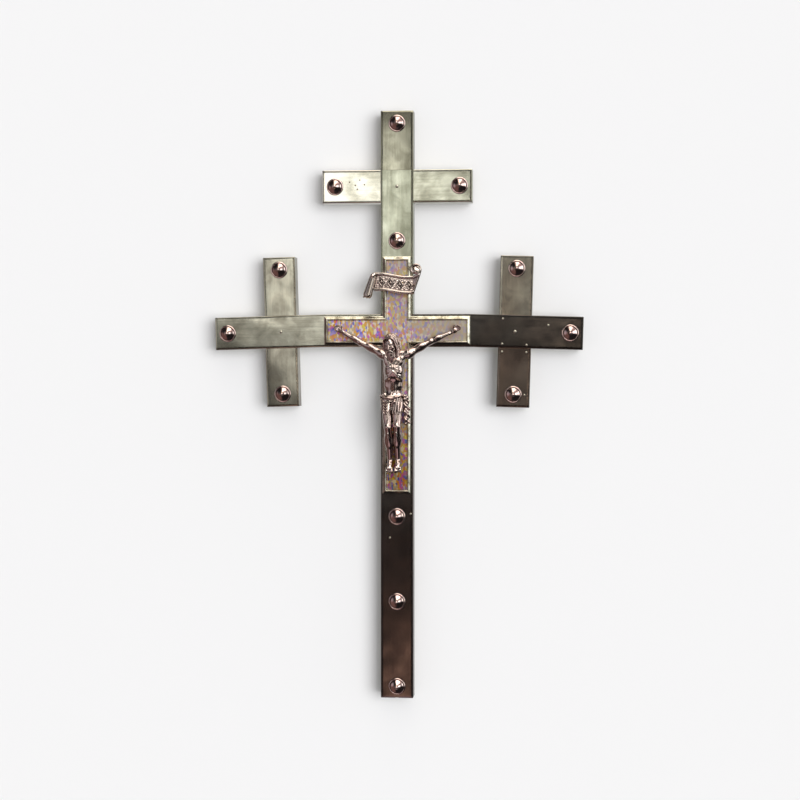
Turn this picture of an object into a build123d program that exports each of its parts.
"""Processional cross: a Latin cross whose three upper limbs end in crosslets.

A halved oak core is sheathed in nickel-silver sheet: folded trays over the front and sides, flat
strips over the back. Turned copper bosses, a framed diamond-point panel, a cast figure and a cast
scroll are fastened to the front. The foot takes the staff's spigot in a brass ferrule.

Frame: millimetres, +Z up, the front faces -Y, origin at the centre of the ferrule's mouth.
"""

from build123d import *
import math
import os

# ---- limbs -------------------------------------------------------------------------------
BAR_WIDTH = 50.0  # face width of every limb
BAR_DEPTH = 22.0  # from the front sheet to the back strip
FOOT_LENGTH = 540.0  # foot's end to the crossbar's underside
NECK_LENGTH = 170.0  # crossbar to the top crosslet
SIDE_NECK = 130.0  # upright to each side post
CROSSLET_ARM = 90.0  # free length of a crosslet's arm
OUTER_ARM = 78.0  # free length of the side crosslets' outer arms
ARM_DROOP = 1.6  # how far the crossbar's ends have sagged, in degrees
SHEET = 0.9  # thickness of the nickel-silver sheet

HALF = BAR_WIDTH / 2
CORE_HALF = HALF - SHEET
FRONT = -BAR_DEPTH / 2
BACK = BAR_DEPTH / 2
CORE_FRONT = FRONT + SHEET
CORE_BACK = BACK - SHEET
CROSS_Z = FOOT_LENGTH + HALF  # the crossbar's axis
TOP_Z = CROSS_Z + HALF + NECK_LENGTH + HALF  # the top crosslet's axis
HEIGHT = TOP_Z + HALF + CROSSLET_ARM
POST_U = HALF + SIDE_NECK + HALF  # a side post's axis, along the arm
ARM_END = POST_U + HALF + OUTER_ARM
LIMB_REACH = HALF + CROSSLET_ARM  # a crosslet's centre to the end of its arm

# ---- panel -------------------------------------------------------------------------------
PANEL_WIDTH = 44.0
PANEL_SIDE = 112.5  # panel's centre to the end of its side arms
PANEL_ABOVE = 113.0
PANEL_BELOW = 250.0
GROUND_THICK = 1.2
INLAY_THICK = 0.8
FRAME_WIDTH = 7.0
FRAME_HEIGHT = 4.0  # of the moulding, above the panel's ground plate
FRAME_LIP = 0.8  # square edge at each side of the moulding
FRAME_CREST = 1.2  # flat along the top of the moulding
INLAY_FACE = FRONT - GROUND_THICK - INLAY_THICK
FRAME_TOP = FRONT - GROUND_THICK - FRAME_HEIGHT

# ---- bosses ------------------------------------------------------------------------------
BOSS_RADIUS = 13.0
BOSS_HEIGHT = 11.0
BOSS_INSET = 19.5  # a boss's centre from the limb's end
NECK_BOSS_DROP = 83.0  # below the top crosslet's axis
FOOT_BOSS_LOW = 18.0
FOOT_BOSS_PITCH = 131.0
FOOT_BOSSES = 3
BOSS_NAIL_RADIUS = 1.6
BOSS_NAIL_IN_BOSS = 5.0
BOSS_NAIL_IN_CORE = 15.0

# ---- ferrule -----------------------------------------------------------------------------
SPIGOT_RADIUS = 6.0  # the bore that takes the staff's spigot
FERRULE_WALL = 1.0
FERRULE_LENGTH = 80.0
FERRULE_PLATE = (40.0, 16.0, 1.5)
FERRULE_SCREW_X = 14.0
KEY_NOTCH_RADIUS = 2.5  # half-round notch in the front sheet, at the foot's end

# ---- small fasteners ---------------------------------------------------------------------
PIN_RADIUS = 0.7
PIN_HEAD_RADIUS = 1.7
PIN_HEAD_HEIGHT = 0.9
PIN_LENGTH = 7.0
BACK_PIN_INSET = 12.0  # from a strip's end
BACK_PIN_PITCH = 85.0
RIVET_RADIUS = 1.5
RIVET_HEAD_RADIUS = 2.7
RIVET_HEAD_HEIGHT = 1.1
STUD_RADIUS = 2.0
NUT_RADIUS = 4.2
NUT_HEIGHT = 2.6
NUT_CHAMFER = 0.6
WASHER_RADIUS = 5.5
WASHER_THICK = 0.8
HEAD_SLOT = 0.8  # width of a screw's slot
HOLE_CLEARANCE = 0.2  # round a stud or screw that passes through wood and sheet

# Front pins of the right crosslet, from its centre: along the arm, then across it.
CROSSLET_PINS = [(50, 11), (-19, 19), (-19, -19), (-19, -31), (18, -20), (18, -31), (17, -96)]
FOOT_PINS = [(21, 284), (-11, 247)]  # x, then height
PUNCH_MARKS = [(-73, 7), (-64, 2), (-57, 10), (-50, 3), (-61, -4)]  # from the top crosslet's centre
PUNCH_RADIUS = 1.1

# ---- figure ------------------------------------------------------------------------------
# Each section of a limb is: x, distance from the inlay, height above the crossbar's axis,
# half width, half depth.
TORSO = [
    (0.5, 15, -31, 11, 7),
    (0.0, 15, -37, 20, 9.5),
    (-2.0, 16, -50, 18.5, 11),
    (-3.5, 16, -63, 17, 11.5),
    (-4.5, 15, -76, 14.5, 10),
    (-5.0, 14, -88, 13, 8.5),
    (-6.0, 14, -99, 16, 10),
    (-6.0, 15, -112, 16.5, 11.5),
    (-5.5, 16, -124, 15.5, 11),
]
HEAD = [
    (1.5, 21, -49, 3, 3),
    (0.5, 23, -43, 7, 8),
    (-1.5, 22, -34, 12, 11),
    (-3.5, 21, -24, 13.5, 12),
    (-5.0, 20, -14, 12, 11.5),
    (-6.0, 19, -6, 6, 6),
]
LEFT_LEG = [
    (-12.0, 16, -116, 8.5, 9.5),
    (-10.5, 21, -134, 7.5, 8.5),
    (-9.0, 24, -147, 6.2, 7.5),
    (-9.0, 19, -160, 6.0, 7.0),
    (-8.5, 14, -176, 5.6, 6.2),
    (-7.0, 9, -197, 3.8, 4.6),
    (-7.5, 9, -209, 5.4, 4.8),
    (-8.0, 7, -219, 5.0, 3.4),
]
RIGHT_LEG = [
    (1.5, 16, -116, 8.5, 9.5),
    (2.5, 21, -134, 7.5, 8.5),
    (3.2, 23, -146, 6.2, 7.5),
    (4.0, 18, -160, 6.0, 7.0),
    (4.2, 13, -176, 5.6, 6.2),
    (3.6, 8, -197, 3.8, 4.6),
    (4.4, 8, -208, 5.0, 4.6),
    (5.0, 6, -217, 4.6, 3.2),
]
DRAPE = [
    (11.5, 15, -98, 4.5, 4.5),
    (15.0, 12, -110, 6.0, 5.0),
    (16.0, 11, -126, 6.0, 5.0),
    (17.5, 10, -143, 5.5, 4.2),
]
# Each section of an arm: x, distance from the inlay, height, half height, half depth.
LEFT_ARM = [
    (-17, 15, -38, 7.2, 7.0),
    (-25, 14, -32, 5.6, 5.6),
    (-41, 11, -24, 4.6, 4.8),
    (-57, 9, -17, 4.2, 4.4),
    (-77, 6, -5, 2.8, 2.8),
    (-86, 5, 0.5, 4.6, 3.0),
    (-96, 5, 7, 3.2, 2.2),
]
RIGHT_ARM = [
    (17, 15, -36, 7.2, 7.0),
    (25, 14, -31, 5.6, 5.6),
    (42, 11, -22, 4.6, 4.8),
    (60, 9, -13, 4.2, 4.4),
    (80, 6, -5, 2.8, 2.8),
    (89, 5, 0, 4.6, 3.0),
    (98, 5, 5, 3.2, 2.2),
]
HAND_SECTION = 5  # the arm section that the nail passes through
FOOT_SECTION = 6  # the leg section that the nail passes through
LUG_SECTION = 6  # the body section that the back lug springs from
LUG_HEIGHT = -108.0  # of the figure's back lug, above the crossbar's axis
LUG_X = -6.0
LUG_RADIUS = 4.5
CORPUS_NAIL_RADIUS = 0.8
CORPUS_NAIL_HEAD = 2.0  # radius
CORPUS_NAIL_HEAD_HEIGHT = 1.2
SHOULDER_PIN_RADIUS = 1.2
SHOULDER_PIN_LENGTH = 9.0
SHOULDER_X = 19.0  # plane at which an arm is joined to the body
SHOULDER_DROP = 60.0  # how far below the crossbar's axis that plane reaches

# ---- scroll ------------------------------------------------------------------------------
SCROLL_X = -2.0
SCROLL_Z = 72.0  # centre of the banner, above the crossbar's axis
SCROLL_LENGTH = 58.0
SCROLL_HEIGHT = 25.0
SCROLL_THICK = 1.8
SCROLL_BULGE = 4.0  # how far the banner's middle stands in front of its ends
LEFT_ROLL = (4.6, 32.0, 17.0)  # radius, length, lean in degrees
RIGHT_ROLL = (3.4, 8.2, 36.0, 12.0)  # lower and upper radius, length, lean in degrees
SCROLL_PIN_INSET = 4.0  # a pin's centre from the inlay's edge
SCROLL_PIN_X = PANEL_WIDTH / 2 - FRAME_WIDTH - SCROLL_PIN_INSET

EPS = 1.0  # how far a cutting tool runs past the surface it cuts

parts = {}


# ---- helpers -----------------------------------------------------------------------------
def slab(points, front, back):
    """An outline of (x, z) points, solid between two depths."""
    outline = make_face(Polyline(*[(x, front, z) for x, z in points], close=True))
    return extrude(outline, amount=back - front, dir=(0, 1, 0))


def box_points(left, right, low, high):
    return [(left, low), (right, low), (right, high), (left, high)]


def rod(x, z, radius, front, back):
    """A round bar along Y between two depths."""
    return Pos(x, (front + back) / 2, z) * Rot(90, 0, 0) * Cylinder(radius, back - front)


def on_arm(along, across, side):
    """The (x, z) of a point on the crossbar, whose ends sag beyond the panel.

    along is measured from the upright's axis and across upwards; side is 1 right, -1 left.
    """
    if along <= PANEL_SIDE:
        return side * along, CROSS_Z + across
    lean = math.radians(ARM_DROOP)
    beyond = along - PANEL_SIDE
    x = PANEL_SIDE + beyond * math.cos(lean) + across * math.sin(lean)
    z = CROSS_Z - beyond * math.sin(lean) + across * math.cos(lean)
    return side * x, z


def arm_points(half, start, end, side):
    """Outline of a strip along one half of the crossbar, mitred where the sag begins."""
    mitre = half * math.tan(math.radians(ARM_DROOP) / 2)
    upper = [(side * start, CROSS_Z + half), (side * (PANEL_SIDE + mitre), CROSS_Z + half)]
    lower = [(side * (PANEL_SIDE - mitre), CROSS_Z - half), (side * start, CROSS_Z - half)]
    return upper + [on_arm(end, half, side), on_arm(end, -half, side)] + lower


def post_points(half, low, high, side):
    """Outline of a strip along a side post, square to the sagging arm."""
    corners = [(-half, low), (half, low), (half, high), (-half, high)]
    return [on_arm(POST_U + along, across, side) for along, across in corners]


def latin_cross(half, side, above, below):
    """The twelve corners of a Latin cross about the crossing, clockwise from its top."""
    return [
        (-half, CROSS_Z + above),
        (half, CROSS_Z + above),
        (half, CROSS_Z + half),
        (side, CROSS_Z + half),
        (side, CROSS_Z - half),
        (half, CROSS_Z - half),
        (half, CROSS_Z - below),
        (-half, CROSS_Z - below),
        (-half, CROSS_Z - half),
        (-side, CROSS_Z - half),
        (-side, CROSS_Z + half),
        (-half, CROSS_Z + half),
    ]


def tray(outer, inner):
    """A sheet folded over a limb's front and sides; it is open at the back."""
    return slab(outer, FRONT, CORE_BACK) - slab(inner, CORE_FRONT, BACK)


def strip(points):
    """A flat sheet on a limb's back."""
    return slab(points, CORE_BACK, BACK)


def domed_pin(radius, length, head_radius, head_height):
    """A pin along -Z from the origin, with a domed head above it."""
    dome_radius = (head_radius**2 + head_height**2) / (2 * head_height)
    dome = Pos(0, 0, head_height - dome_radius) * Sphere(dome_radius)
    above = Pos(0, 0, head_height) * Box(4 * dome_radius, 4 * dome_radius, 2 * head_height)
    return (dome & above) + Pos(0, 0, -length / 2) * Cylinder(radius, length)


def facing_front(shape, x, face, z):
    """Turns a shape made along +Z to face -Y, and sets it on a plane at that depth."""
    return Pos(x, face, z) * Rot(90, 0, 0) * shape


def facing_back(shape, x, face, z):
    return Pos(x, face, z) * Rot(-90, 0, 0) * shape


def group(solids):
    return Compound(children=[s for shape in solids for s in shape.solids()])


# ---- where the fasteners sit -------------------------------------------------------------
def boss_places():
    """Each boss's name and (x, z)."""
    reach = LIMB_REACH - BOSS_INSET
    places = {
        "boss_top": (0, TOP_Z + reach),
        "boss_top_left": (-reach, TOP_Z),
        "boss_top_right": (reach, TOP_Z),
        "boss_neck": (0, TOP_Z - NECK_BOSS_DROP),
    }
    for name, side in (("left", -1), ("right", 1)):
        places[f"boss_{name}_upper"] = on_arm(POST_U, reach, side)
        places[f"boss_{name}_outer"] = on_arm(ARM_END - BOSS_INSET, 0, side)
        places[f"boss_{name}_lower"] = on_arm(POST_U, -reach, side)
    for level in range(FOOT_BOSSES):
        places[f"boss_foot_{level + 1}"] = (0, FOOT_BOSS_LOW + level * FOOT_BOSS_PITCH)
    return places


BOSSES = boss_places()
RIVETS = [(0, TOP_Z), on_arm(POST_U, 0, -1), on_arm(POST_U, 0, 1)]
FRONT_PINS = [on_arm(POST_U + along, across, 1) for along, across in CROSSLET_PINS] + FOOT_PINS
PANEL_STUDS = [
    (-PANEL_SIDE + FRAME_WIDTH / 2, CROSS_Z),
    (PANEL_SIDE - FRAME_WIDTH / 2, CROSS_Z),
    (0, CROSS_Z + PANEL_ABOVE - FRAME_WIDTH / 2),
    (0, CROSS_Z - PANEL_BELOW + FRAME_WIDTH / 2),
]
LUG = (LUG_X, CROSS_Z + LUG_HEIGHT)
FERRULE_OUTER = SPIGOT_RADIUS + FERRULE_WALL


def spaced(first, last):
    """Places from first to last, evenly spaced at about the back pins' pitch."""
    gaps = max(1, round((last - first) / BACK_PIN_PITCH))
    return [first + (last - first) * i / gaps for i in range(gaps + 1)]


def back_pin_places():
    """The (x, z) of the pins that hold the back strips."""
    places = [(0, z) for z in spaced(BACK_PIN_INSET, HEIGHT - BACK_PIN_INSET)]
    reach = spaced(HALF + BACK_PIN_INSET, LIMB_REACH - BACK_PIN_INSET)
    for side in (-1, 1):
        places += [(side * x, TOP_Z) for x in reach]
        outwards = spaced(HALF + BACK_PIN_INSET, ARM_END - BACK_PIN_INSET)
        places += [on_arm(u, 0, side) for u in outwards]
        places += [on_arm(POST_U, up * w, side) for w in reach for up in (-1, 1)]
    taken = RIVETS + PANEL_STUDS + [LUG]
    clear = WASHER_RADIUS + PIN_HEAD_RADIUS + EPS
    away = [p for p in places if all(math.dist(p, q) > clear for q in taken)]
    above_ferrule = FERRULE_LENGTH + BACK_PIN_INSET
    return [(x, z) for x, z in away if abs(x) > HALF or z > above_ferrule]


BACK_PINS = back_pin_places()


def drilled(shape):
    """A piece with every hole that a fastener needs in it."""
    room = shape.bounding_box()
    holes = [(x, z, BOSS_NAIL_RADIUS, FRONT - EPS, boss_nail_end(x, z)) for x, z in BOSSES.values()]
    holes += [(x, z, RIVET_RADIUS, FRONT - EPS, BACK + EPS) for x, z in RIVETS]
    holes += [(x, z, PIN_RADIUS, FRONT - EPS, FRONT + PIN_LENGTH) for x, z in FRONT_PINS]
    holes += [(x, z, PIN_RADIUS, BACK - PIN_LENGTH, BACK + EPS) for x, z in BACK_PINS]
    through = STUD_RADIUS + HOLE_CLEARANCE
    holes += [(x, z, through, FRONT - EPS, BACK + EPS) for x, z in PANEL_STUDS + [LUG]]
    for x, z, radius, front, back in holes:
        inside = room.min.X - radius < x < room.max.X + radius
        if inside and room.min.Z - radius < z < room.max.Z + radius:
            if front < room.max.Y and back > room.min.Y:
                shape -= rod(x, z, radius, front, back)
    return shape


def boss_nail_end(x, z):
    """How deep a boss's nail goes: the lowest one stops short of the ferrule."""
    if x == 0 and z < FERRULE_LENGTH:
        return -FERRULE_OUTER - HOLE_CLEARANCE
    return FRONT + BOSS_NAIL_IN_CORE


# ---- oak core ----------------------------------------------------------------------------
def core_pieces():
    """The five core bars, halved into each other where they cross."""
    core_end = ARM_END - SHEET
    reach = LIMB_REACH - SHEET
    plate = FERRULE_PLATE[2]
    outlines = {
        "core_upright": box_points(-CORE_HALF, CORE_HALF, SHEET + plate, HEIGHT - SHEET),
        "core_top_bar": box_points(-reach, reach, TOP_Z - CORE_HALF, TOP_Z + CORE_HALF),
        "core_left_post": post_points(CORE_HALF, -reach, reach, -1),
        "core_right_post": post_points(CORE_HALF, -reach, reach, 1),
    }
    full = {name: slab(points, CORE_FRONT, CORE_BACK) for name, points in outlines.items()}
    halves = [slab(arm_points(CORE_HALF, 0, core_end, s), CORE_FRONT, CORE_BACK) for s in (-1, 1)]
    full["core_crossbar"] = halves[0] + halves[1]

    front_half = slab(box_points(-ARM_END, ARM_END, -EPS, HEIGHT), FRONT, 0)
    back_half = slab(box_points(-ARM_END, ARM_END, -EPS, HEIGHT), 0, BACK)
    over_under = [
        ("core_upright", "core_crossbar"),
        ("core_upright", "core_top_bar"),
        ("core_crossbar", "core_left_post"),
        ("core_crossbar", "core_right_post"),
    ]
    cut = dict(full)
    for over, under in over_under:
        cut[over] -= full[under] & back_half
        cut[under] -= full[over] & front_half
    cut["core_upright"] -= Pos(0, 0, FERRULE_LENGTH / 2) * Cylinder(FERRULE_OUTER, FERRULE_LENGTH)
    for x in (-FERRULE_SCREW_X, FERRULE_SCREW_X):
        cut["core_upright"] -= ferrule_screw_body(x)
    return full, {name: drilled(shape) for name, shape in cut.items()}


# ---- sheathing ---------------------------------------------------------------------------
def sheath_pieces(cores):
    """The folded front trays. Each is cut where a crossing core bar passes through it."""
    seam = CROSS_Z + HALF
    crosslet = TOP_Z + HALF
    trays = {
        "foot_sheath": tray(
            box_points(-HALF, HALF, 0, seam),
            box_points(-CORE_HALF, CORE_HALF, SHEET, seam + EPS),
        ),
        "neck_sheath": tray(
            box_points(-HALF, HALF, seam, crosslet),
            box_points(-CORE_HALF, CORE_HALF, seam - EPS, crosslet + EPS),
        ),
        "top_arm_sheath": tray(
            box_points(-HALF, HALF, crosslet, HEIGHT),
            box_points(-CORE_HALF, CORE_HALF, crosslet - EPS, HEIGHT - SHEET),
        ),
    }
    for name, side in (("left", -1), ("right", 1)):
        near, far = side * HALF, side * LIMB_REACH
        shut = side * (LIMB_REACH - SHEET)
        trays[f"top_{name}_arm_sheath"] = tray(
            box_points(near, far, TOP_Z - HALF, TOP_Z + HALF),
            box_points(near - side * EPS, shut, TOP_Z - CORE_HALF, TOP_Z + CORE_HALF),
        )
        trays[f"{name}_arm_sheath"] = tray(
            arm_points(HALF, HALF, ARM_END, side),
            arm_points(CORE_HALF, HALF - EPS, ARM_END - SHEET, side),
        )
        trays[f"{name}_post_upper_sheath"] = tray(
            post_points(HALF, HALF, LIMB_REACH, side),
            post_points(CORE_HALF, HALF - EPS, LIMB_REACH - SHEET, side),
        )
        trays[f"{name}_post_lower_sheath"] = tray(
            post_points(HALF, -LIMB_REACH, -HALF, side),
            post_points(CORE_HALF, -LIMB_REACH + SHEET, -HALF + EPS, side),
        )
    for name in ("foot_sheath", "neck_sheath"):
        trays[name] -= cores["core_crossbar"]
        trays[name] -= cores["core_top_bar"]
    for side in ("left", "right"):
        trays[f"{side}_arm_sheath"] -= cores[f"core_{side}_post"]

    foot = trays["foot_sheath"]
    foot -= Cylinder(FERRULE_OUTER, 4 * SHEET)
    foot -= rod(0, 0, KEY_NOTCH_RADIUS, FRONT - EPS, CORE_FRONT)
    for x in (-FERRULE_SCREW_X, FERRULE_SCREW_X):
        foot -= ferrule_screw_body(x)
    trays["foot_sheath"] = foot
    for x, z in PUNCH_MARKS:
        hole = rod(x, TOP_Z + z, PUNCH_RADIUS, FRONT - EPS, CORE_FRONT)
        trays["top_left_arm_sheath"] -= hole
    return {name: drilled(shape) for name, shape in trays.items()}


def back_strips():
    """The flat strips on the back, one to a limb."""
    strips = {"upright_back_strip": strip(box_points(-HALF, HALF, 0, HEIGHT))}
    for name, side in (("left", -1), ("right", 1)):
        near, far = side * HALF, side * LIMB_REACH
        top = box_points(near, far, TOP_Z - HALF, TOP_Z + HALF)
        strips[f"top_{name}_back_strip"] = strip(top)
        strips[f"{name}_arm_back_strip"] = strip(arm_points(HALF, HALF, ARM_END, side))
        upper = post_points(HALF, HALF, LIMB_REACH, side)
        lower = post_points(HALF, -LIMB_REACH, -HALF, side)
        strips[f"{name}_post_upper_back_strip"] = strip(upper)
        strips[f"{name}_post_lower_back_strip"] = strip(lower)
    return {name: drilled(shape) for name, shape in strips.items()}


# ---- bosses ------------------------------------------------------------------------------
def boss():
    """A turned boss along +Z: rounded rim, cove, and a swelling cone with a small tip."""
    rim = 3.0
    edge = 1.4  # rounding of the rim
    cove = BOSS_RADIUS * 0.72  # radius at the bottom of the cove
    tip = 1.6  # radius at which the tip begins
    shoulder = BOSS_HEIGHT - 0.8  # height at which the tip begins
    outline = [
        Line((0, 0), (BOSS_RADIUS, 0)),
        Line((BOSS_RADIUS, 0), (BOSS_RADIUS, rim - edge)),
        RadiusArc((BOSS_RADIUS, rim - edge), (BOSS_RADIUS - edge, rim), -edge),
        RadiusArc((BOSS_RADIUS - edge, rim), (cove, rim), -BOSS_RADIUS / 6),
        RadiusArc((cove, rim), (tip, shoulder), -BOSS_RADIUS),
        RadiusArc((tip, shoulder), (0, BOSS_HEIGHT), -2.0),
        Line((0, BOSS_HEIGHT), (0, 0)),
    ]
    turned = revolve(Plane.XZ * make_face(outline), Axis.Z)
    return turned - Pos(0, 0, BOSS_NAIL_IN_BOSS / 2) * Cylinder(BOSS_NAIL_RADIUS, BOSS_NAIL_IN_BOSS)


def boss_pieces():
    turned = boss()
    made = {name: facing_front(turned, x, FRONT, z) for name, (x, z) in BOSSES.items()}
    nails = []
    for x, z in BOSSES.values():
        nails.append(rod(x, z, BOSS_NAIL_RADIUS, FRONT - BOSS_NAIL_IN_BOSS, boss_nail_end(x, z)))
    made["boss_nails"] = group(nails)
    return made


# ---- small fasteners ---------------------------------------------------------------------
def rivet():
    """A through rivet along Y with a low head on each face."""
    head = domed_pin(RIVET_RADIUS, BAR_DEPTH / 2, RIVET_HEAD_RADIUS, RIVET_HEAD_HEIGHT)
    return facing_front(head, 0, FRONT, 0) + facing_back(head, 0, BACK, 0)


def slotted_nut():
    """A round nut with a slot, along +Z."""
    nut = Pos(0, 0, NUT_HEIGHT / 2) * Cylinder(NUT_RADIUS, NUT_HEIGHT)
    nut = chamfer(nut.edges().group_by(Axis.Z)[-1], NUT_CHAMFER)
    nut -= Pos(0, 0, NUT_HEIGHT) * Box(3 * NUT_RADIUS, HEAD_SLOT, HEAD_SLOT * 2)
    return nut - Pos(0, 0, NUT_HEIGHT / 2) * Cylinder(STUD_RADIUS, 2 * NUT_HEIGHT)


def washer():
    ring = Cylinder(WASHER_RADIUS, WASHER_THICK) - Cylinder(STUD_RADIUS, 2 * WASHER_THICK)
    return Pos(0, 0, WASHER_THICK / 2) * ring


def fastener_pieces():
    pin = domed_pin(PIN_RADIUS, PIN_LENGTH, PIN_HEAD_RADIUS, PIN_HEAD_HEIGHT)
    seat = BACK + WASHER_THICK
    end = seat + NUT_HEIGHT
    bolted = PANEL_STUDS + [LUG]
    lug_start = INLAY_FACE - LUG_RADIUS
    studs = [rod(x, z, STUD_RADIUS, FRONT, end) for x, z in PANEL_STUDS]
    return {
        "lap_rivets": group([Pos(x, 0, z) * rivet() for x, z in RIVETS]),
        "front_pins": group([facing_front(pin, x, FRONT, z) for x, z in FRONT_PINS]),
        "back_pins": group([facing_back(pin, x, BACK, z) for x, z in BACK_PINS]),
        "panel_studs": group(studs),
        "corpus_stud": rod(*LUG, STUD_RADIUS, lug_start, end),
        "back_washers": group([facing_back(washer(), x, BACK, z) for x, z in bolted]),
        "back_nuts": group([facing_back(slotted_nut(), x, seat, z) for x, z in bolted]),
    }


# ---- ferrule -----------------------------------------------------------------------------
def ferrule_screw_body(x):
    """A countersunk screw that enters the foot from below."""
    head, head_depth, shank, length = 3.0, 1.6, 1.4, 14.0
    cone = Pos(x, 0, head_depth / 2) * Cone(head, shank, head_depth)
    return cone + Pos(x, 0, length / 2) * Cylinder(shank, length)


def ferrule_pieces():
    width, depth, thick = FERRULE_PLATE
    tube = Pos(0, 0, FERRULE_LENGTH / 2) * Cylinder(FERRULE_OUTER, FERRULE_LENGTH)
    plate = Pos(0, 0, SHEET + thick / 2) * Box(width, depth, thick)
    ferrule = tube + plate
    ferrule -= Pos(0, 0, FERRULE_LENGTH / 2) * Cylinder(SPIGOT_RADIUS, FERRULE_LENGTH + 2 * EPS)
    screws = []
    for x in (-FERRULE_SCREW_X, FERRULE_SCREW_X):
        screw = ferrule_screw_body(x)
        ferrule -= screw
        screws.append(screw - Pos(x, 0, 0) * Box(BAR_WIDTH, HEAD_SLOT, HEAD_SLOT))
    return {"staff_ferrule": ferrule, "ferrule_screws": group(screws)}


# ---- panel -------------------------------------------------------------------------------
def panel_frame():
    """Twelve mitred lengths of moulding round the panel's edge."""
    outer = latin_cross(PANEL_WIDTH / 2, PANEL_SIDE, PANEL_ABOVE, PANEL_BELOW)
    inset = [side - FRAME_WIDTH for side in (PANEL_WIDTH / 2, PANEL_SIDE, PANEL_ABOVE, PANEL_BELOW)]
    inner = latin_cross(*inset)
    base = FRONT - GROUND_THICK
    low = base - FRAME_LIP
    rise = (FRAME_WIDTH - FRAME_CREST) / 2
    profile = [(0, base), (0, low), (rise, FRAME_TOP), (rise + FRAME_CREST, FRAME_TOP)]
    profile += [(FRAME_WIDTH, low), (FRAME_WIDTH, base)]
    lengths = []
    for i, (start, end) in enumerate(zip(outer, outer[1:] + outer[:1])):
        along = (end[0] - start[0], end[1] - start[1])
        length = math.hypot(*along)
        run = (along[0] / length, along[1] / length)
        inward = (run[1], -run[0])
        corners = []
        for width, depth in profile:
            x = start[0] + width * inward[0] - FRAME_WIDTH * run[0]
            z = start[1] + width * inward[1] - FRAME_WIDTH * run[1]
            corners.append((x, depth, z))
        section = make_face(Polyline(*corners, close=True))
        bar = extrude(section, amount=length + 2 * FRAME_WIDTH, dir=(run[0], 0, run[1]))
        footprint = [start, end, inner[(i + 1) % 12], inner[i]]
        lengths.append(bar & slab(footprint, FRAME_TOP - EPS, base))
    return group(lengths)


def panel_pieces():
    half = PANEL_WIDTH / 2
    ground = slab(latin_cross(half, PANEL_SIDE, PANEL_ABOVE, PANEL_BELOW), FRONT - GROUND_THICK, FRONT)
    inlay_sides = [s - FRAME_WIDTH for s in (half, PANEL_SIDE, PANEL_ABOVE, PANEL_BELOW)]
    inlay = slab(latin_cross(*inlay_sides), INLAY_FACE, INLAY_FACE + INLAY_THICK)
    bored = []
    for shape in (ground, inlay):
        for x, z in corpus_nail_places() + scroll_pin_places():
            shape -= rod(x, z, CORPUS_NAIL_RADIUS, INLAY_FACE - EPS, BACK)
        shape -= rod(*LUG, STUD_RADIUS, INLAY_FACE - EPS, BACK)
        bored.append(shape)
    return {"panel_ground": bored[0], "panel_inlay": bored[1], "panel_frame": panel_frame()}


# ---- figure ------------------------------------------------------------------------------
def body_loft(sections):
    """A limb through level oval sections."""
    ovals = []
    for x, forward, z, half_width, half_depth in sections:
        centre = (x, INLAY_FACE - forward, CROSS_Z + z)
        ovals.append(Plane(centre, x_dir=(1, 0, 0)) * Ellipse(half_width, half_depth))
    return loft(ovals)


def arm_loft(sections):
    """An arm and open hand through oval sections that stand upright, square to the arm."""
    ovals = []
    last = len(sections) - 1
    for i, (x, forward, z, half_height, half_depth) in enumerate(sections):
        before, after = sections[max(i - 1, 0)], sections[min(i + 1, last)]
        run = (after[0] - before[0], before[1] - after[1], after[2] - before[2])
        centre = (x, INLAY_FACE - forward, CROSS_Z + z)
        ovals.append(Plane(centre, x_dir=(0, 1, 0), z_dir=run) * Ellipse(half_depth, half_height))
    return loft(ovals)


def corpus_nail_places():
    """The (x, z) of the nails: two through the palms, two through the feet."""
    picked = [LEFT_ARM[HAND_SECTION], RIGHT_ARM[HAND_SECTION]]
    picked += [LEFT_LEG[FOOT_SECTION], RIGHT_LEG[FOOT_SECTION]]
    return [(x, CROSS_Z + z) for x, _, z, _, _ in picked]


def corpus_nail_heads():
    """The depth at which each nail's head bears, in the same order."""
    hands = [INLAY_FACE - s[HAND_SECTION][1] - s[HAND_SECTION][4] for s in (LEFT_ARM, RIGHT_ARM)]
    feet = [INLAY_FACE - s[FOOT_SECTION][1] - s[FOOT_SECTION][4] for s in (LEFT_LEG, RIGHT_LEG)]
    return hands + feet


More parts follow.
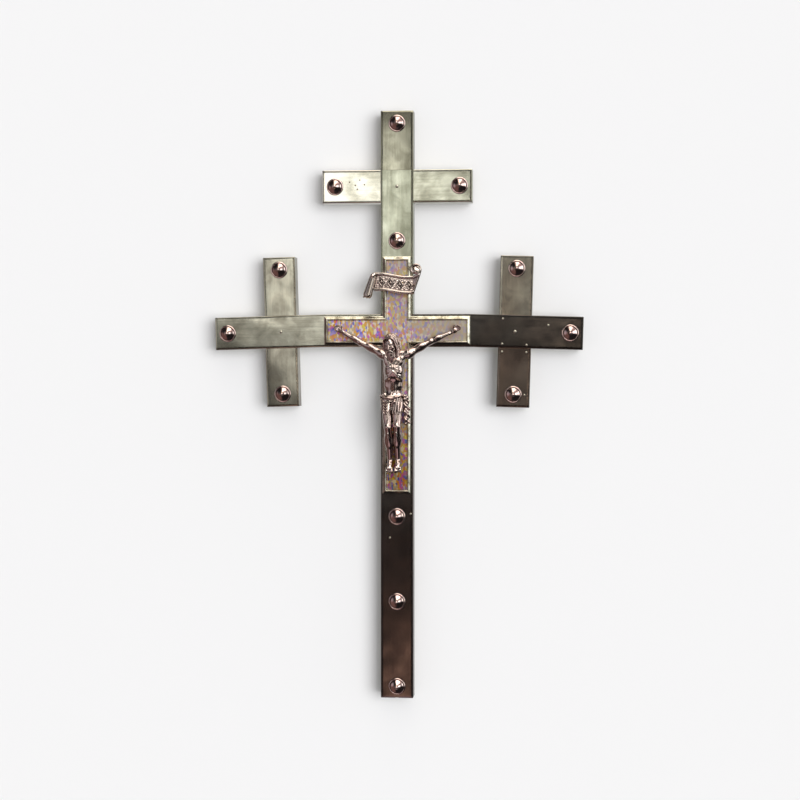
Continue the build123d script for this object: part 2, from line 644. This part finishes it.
def corpus_pieces():
    """The cast figure: body, two arms pinned on at the shoulders, nails and shoulder pins."""
    body = body_loft(TORSO)
    for sections in (LEFT_LEG, RIGHT_LEG, DRAPE, HEAD):
        body += body_loft(sections)
    body += rod(*LUG, LUG_RADIUS, INLAY_FACE - TORSO[LUG_SECTION][1], INLAY_FACE)
    body -= rod(*LUG, STUD_RADIUS, INLAY_FACE - LUG_RADIUS, BACK)
    arms = {"left": arm_loft(LEFT_ARM), "right": arm_loft(RIGHT_ARM)}

    pins = []
    for name, side in (("left", -1), ("right", 1)):
        outside = side * SHOULDER_X
        beyond = slab(box_points(outside, side * ARM_END, 0, HEIGHT), INLAY_FACE - 2 * BAR_WIDTH, BACK)
        body -= beyond & slab(box_points(-ARM_END, ARM_END, CROSS_Z - SHOULDER_DROP, CROSS_Z), -ARM_END, BACK)
        arms[name] &= beyond
        _, forward, z, _, _ = LEFT_ARM[0] if side < 0 else RIGHT_ARM[0]
        centre = (outside, INLAY_FACE - forward, CROSS_Z + z)
        pin = Pos(*centre) * Rot(0, 90, 0) * Cylinder(SHOULDER_PIN_RADIUS, SHOULDER_PIN_LENGTH)
        body -= pin
        arms[name] -= pin
        pins.append(pin)

    nails = []
    for (x, z), bearing in zip(corpus_nail_places(), corpus_nail_heads()):
        length = FRONT - bearing + PIN_LENGTH
        nail = domed_pin(CORPUS_NAIL_RADIUS, length, CORPUS_NAIL_HEAD, CORPUS_NAIL_HEAD_HEIGHT)
        placed = facing_front(nail, x, bearing, z)
        counter = rod(x, z, CORPUS_NAIL_HEAD, bearing - BAR_DEPTH, bearing)
        hole = rod(x, z, CORPUS_NAIL_RADIUS, bearing - EPS, BACK)
        if z > CROSS_Z - LIMB_REACH:
            side = "left" if x < 0 else "right"
            arms[side] -= counter + hole
        else:
            body -= counter + hole
        nails.append(placed)
    return {
        "corpus_body": body,
        "corpus_left_arm": arms["left"],
        "corpus_right_arm": arms["right"],
        "corpus_shoulder_pins": group(pins),
        "corpus_hand_nails": group(nails[:2]),
        "corpus_foot_nails": group(nails[2:]),
    }


# ---- scroll ------------------------------------------------------------------------------
def scroll_pin_places():
    return [(SCROLL_X + side * SCROLL_PIN_X, CROSS_Z + SCROLL_Z) for side in (-1, 1)]


def scroll_pieces():
    """The cast titulus scroll: a bowed banner with a rolled end at each side."""
    half = SCROLL_LENGTH / 2
    z = CROSS_Z + SCROLL_Z
    ends = FRAME_TOP
    back = ThreePointArc((-half, ends), (0, ends - SCROLL_BULGE), (half, ends))
    front = ThreePointArc(
        (half, ends - SCROLL_THICK),
        (0, ends - SCROLL_BULGE - SCROLL_THICK),
        (-half, ends - SCROLL_THICK),
    )
    joins = [Line((half, ends), (half, ends - SCROLL_THICK))]
    joins.append(Line((-half, ends - SCROLL_THICK), (-half, ends)))
    section = Plane.XY * make_face([back, joins[0], front, joins[1]])
    banner = Pos(SCROLL_X, 0, z - SCROLL_HEIGHT / 2) * extrude(section, amount=SCROLL_HEIGHT)

    radius, length, lean = LEFT_ROLL
    left = Rot(0, lean, 0) * Cylinder(radius, length)
    left = Pos(SCROLL_X - half - radius, ends - radius, z - radius) * left
    low, high, length, lean = RIGHT_ROLL
    right = Rot(0, lean, 0) * Cone(low, high, length)
    right = Pos(SCROLL_X + half, ends - high, z + low) * right
    scroll = banner + left + right
    at_pin = (SCROLL_PIN_X + PIN_HEAD_RADIUS) / half
    pin_y = ends - SCROLL_THICK - SCROLL_BULGE * (1 - at_pin**2)
    pins = []
    for x, height in scroll_pin_places():
        length = FRONT - pin_y + PIN_LENGTH
        pin = domed_pin(CORPUS_NAIL_RADIUS, length, PIN_HEAD_RADIUS, PIN_HEAD_HEIGHT)
        scroll -= rod(x, height, CORPUS_NAIL_RADIUS, pin_y - EPS, BACK)
        scroll -= rod(x, height, PIN_HEAD_RADIUS, pin_y - SCROLL_BULGE, pin_y)
        pins.append(facing_front(pin, x, pin_y, height))
    return {"titulus_scroll": scroll, "scroll_pins": group(pins)}


def nailed(pieces):
    """Lets the figure's and the scroll's nails into the sheet and core that they reach."""
    places = corpus_nail_places() + scroll_pin_places()
    for name in ("foot_sheath", "neck_sheath", "left_arm_sheath", "right_arm_sheath",
                 "core_upright", "core_crossbar"):
        room = pieces[name].bounding_box()
        for x, z in places:
            if room.min.X < x < room.max.X and room.min.Z < z < room.max.Z:
                pieces[name] -= rod(x, z, CORPUS_NAIL_RADIUS, FRONT - EPS, FRONT + PIN_LENGTH)


def main():
    full_cores, cores = core_pieces()
    parts.update(cores)
    parts.update(sheath_pieces(full_cores))
    parts.update(back_strips())
    parts.update(boss_pieces())
    parts.update(fastener_pieces())
    parts.update(ferrule_pieces())
    parts.update(panel_pieces())
    parts.update(corpus_pieces())
    parts.update(scroll_pieces())
    nailed(parts)
    os.makedirs("parts", exist_ok=True)
    for name, shape in parts.items():
        export_step(shape, f"parts/{name}.step")
        print(name, len(shape.solids()), round(sum(s.volume for s in shape.solids())))


main()
